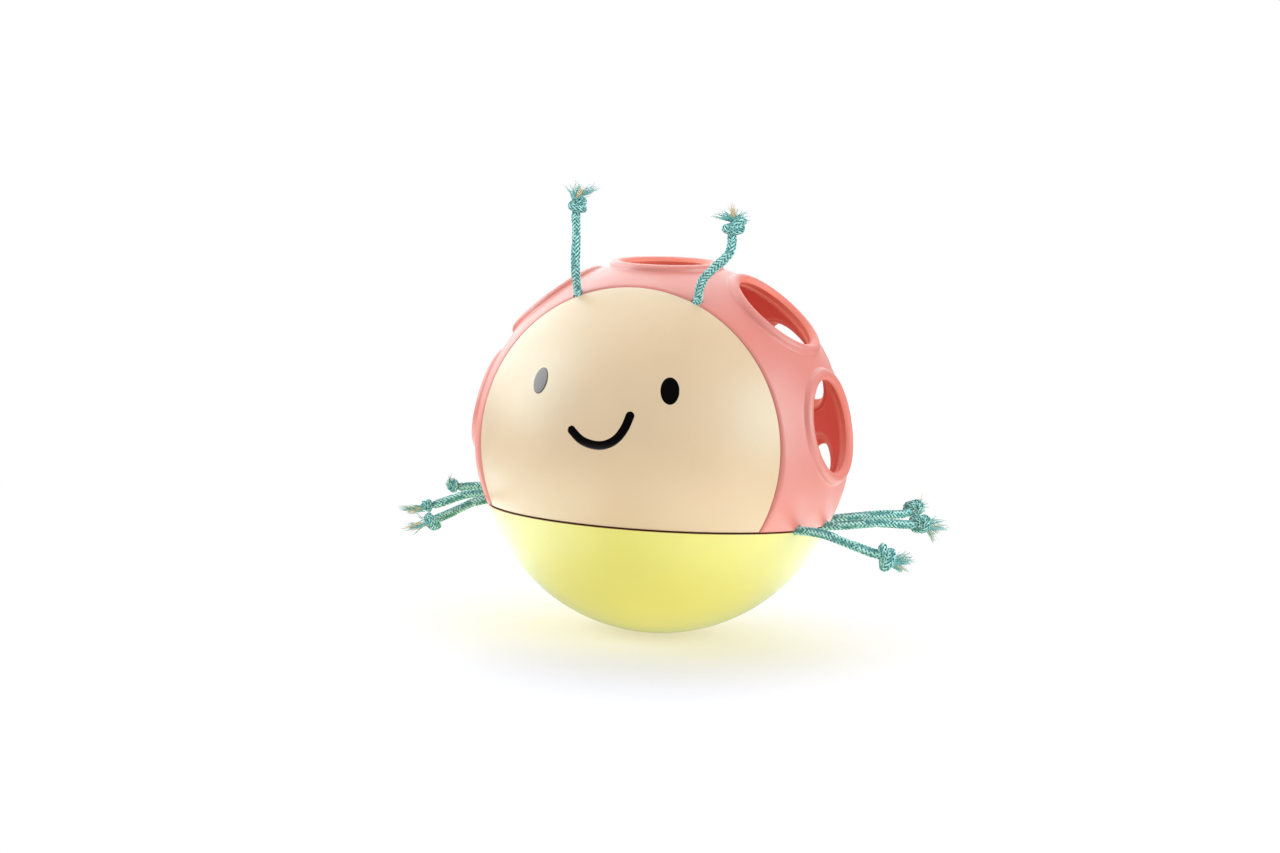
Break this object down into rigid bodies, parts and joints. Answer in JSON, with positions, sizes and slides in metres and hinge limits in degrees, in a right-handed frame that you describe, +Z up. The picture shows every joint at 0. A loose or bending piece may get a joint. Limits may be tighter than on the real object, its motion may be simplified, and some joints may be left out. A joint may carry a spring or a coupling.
{
  "type": "grasping ball",
  "caption": "Roly-poly baby ball: weighted bowl, smiling face shell and a soft cage of ringed finger holes, with knotted cord antennae and legs that bend.",
  "frame": {"origin": "middle of the flat foot under the bowl, on the floor", "axes": "+Z up, -Y the way the face looks, +X to the right seen from the front"},
  "size_m": [0.1755, 0.1153, 0.1383],
  "materials": {
    "bowl_plastic": "satin pale yellow",
    "face_plastic": "satin cream with printed eyes and mouth",
    "cage_rubber": "soft matt pink",
    "frame_plastic": "as moulded",
    "cord_cotton": "braided teal cotton",
    "steel": "zinc plated"
  },
  "bodies": {
    "ball": {"base_bowl": "bowl_plastic", "face_shell": "face_plastic", "cage": "cage_rubber", "inner_frame": "frame_plastic", "ballast_disc": "steel", "bowl_screw_1": "steel", "bowl_screw_2": "steel", "bowl_screw_3": "steel", "bowl_screw_4": "steel", "face_screw_1": "steel", "face_screw_2": "steel", "face_screw_3": "steel", "face_screw_4": "steel", "ballast_screw": "steel", "antenna_left_stop_end": "cord_cotton", "antenna_right_stop_end": "cord_cotton", "leg_left_front_stop_end": "cord_cotton", "leg_left_mid_stop_end": "cord_cotton", "leg_left_back_stop_end": "cord_cotton", "leg_right_front_stop_end": "cord_cotton", "leg_right_mid_stop_end": "cord_cotton", "leg_right_back_stop_end": "cord_cotton"},
    "antenna_left": {"antenna_left_cord": "cord_cotton", "antenna_left_knot": "cord_cotton", "antenna_left_tuft": "cord_cotton"},
    "antenna_right": {"antenna_right_cord": "cord_cotton", "antenna_right_knot": "cord_cotton", "antenna_right_tuft": "cord_cotton"},
    "leg_left_front": {"leg_left_front_cord": "cord_cotton", "leg_left_front_knot": "cord_cotton", "leg_left_front_tuft": "cord_cotton"},
    "leg_left_mid": {"leg_left_mid_cord": "cord_cotton", "leg_left_mid_knot": "cord_cotton", "leg_left_mid_tuft": "cord_cotton"},
    "leg_left_back": {"leg_left_back_cord": "cord_cotton", "leg_left_back_knot": "cord_cotton", "leg_left_back_tuft": "cord_cotton"},
    "leg_right_front": {"leg_right_front_cord": "cord_cotton", "leg_right_front_knot": "cord_cotton", "leg_right_front_tuft": "cord_cotton"},
    "leg_right_mid": {"leg_right_mid_cord": "cord_cotton", "leg_right_mid_knot": "cord_cotton", "leg_right_mid_tuft": "cord_cotton"},
    "leg_right_back": {"leg_right_back_cord": "cord_cotton", "leg_right_back_knot": "cord_cotton", "leg_right_back_tuft": "cord_cotton"}
  },
  "joints": [
    {"name": "antenna_left_bend", "type": "hinge", "parent": "ball", "child": "antenna_left", "pos_m": [-0.01926, -0.03167, 0.10734], "axis": [1, 0, 0], "range_deg": [-35, 55], "stiffness_Nm_per_rad": 0.006},
    {"name": "antenna_right_bend", "type": "hinge", "parent": "ball", "child": "antenna_right", "pos_m": [0.01977, -0.03168, 0.10728], "axis": [1, 0, 0], "range_deg": [-35, 55], "stiffness_Nm_per_rad": 0.006},
    {"name": "leg_left_front_bend", "type": "hinge", "parent": "ball", "child": "leg_left_front", "pos_m": [-0.05276, -0.01952, 0.03783], "axis": [-0.8955, 0.4451, 0], "range_deg": [-55, 45], "stiffness_Nm_per_rad": 0.006},
    {"name": "leg_left_mid_bend", "type": "hinge", "parent": "ball", "child": "leg_left_mid", "pos_m": [-0.05635, -0.00004, 0.03834], "axis": [-0.1681, 0.9858, 0], "range_deg": [-55, 45], "stiffness_Nm_per_rad": 0.006},
    {"name": "leg_left_back_bend", "type": "hinge", "parent": "ball", "child": "leg_left_back", "pos_m": [-0.053, 0.01914, 0.0383], "axis": [-0.047, 0.9989, 0], "range_deg": [-55, 45], "stiffness_Nm_per_rad": 0.006},
    {"name": "leg_right_front_bend", "type": "hinge", "parent": "ball", "child": "leg_right_front", "pos_m": [0.05298, -0.0192, 0.03842], "axis": [-0.1633, -0.9866, 0], "range_deg": [-55, 45], "stiffness_Nm_per_rad": 0.006},
    {"name": "leg_right_mid_bend", "type": "hinge", "parent": "ball", "child": "leg_right_mid", "pos_m": [0.05634, 0.00016, 0.03858], "axis": [0.3463, -0.9381, 0], "range_deg": [-55, 45], "stiffness_Nm_per_rad": 0.006},
    {"name": "leg_right_back_bend", "type": "hinge", "parent": "ball", "child": "leg_right_back", "pos_m": [0.05289, 0.01937, 0.0387], "axis": [0.601, -0.7992, 0], "range_deg": [-55, 45], "stiffness_Nm_per_rad": 0.006}
  ]
}
